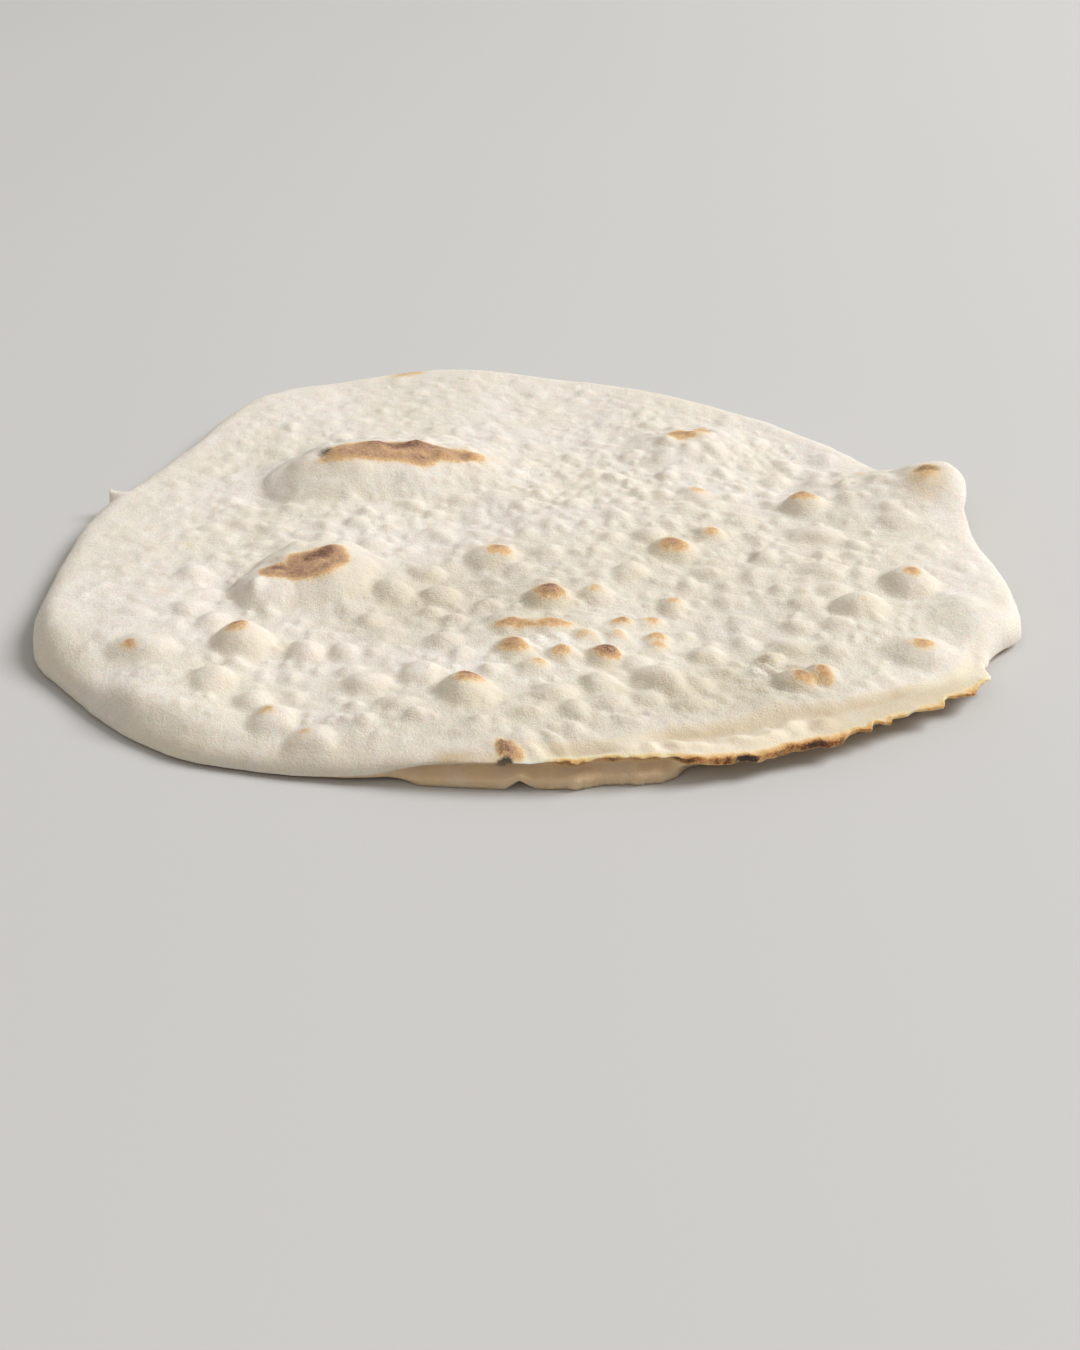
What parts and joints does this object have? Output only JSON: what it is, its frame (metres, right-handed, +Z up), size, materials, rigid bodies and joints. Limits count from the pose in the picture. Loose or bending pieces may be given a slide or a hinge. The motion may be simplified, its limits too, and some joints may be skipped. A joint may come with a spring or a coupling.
{
  "type": "wrap bread",
  "caption": "Large thin hand-stretched flat bread with a blistered, scorched upper face and a soft uneven rim, for rolling around a filling.",
  "frame": {"origin": "on the table, under the middle of the bread's outline", "axes": "+Z up out of the blistered face, +X to the right and -Y towards the near side with the parted skins"},
  "size_m": [0.2819, 0.2693, 0.0201],
  "materials": {
    "crust": "matte floury cream crust, tan to dark brown scorch marks on the blisters and the near rim"
  },
  "bodies": {
    "root": {"bread": "crust"}
  },
  "joints": []
}
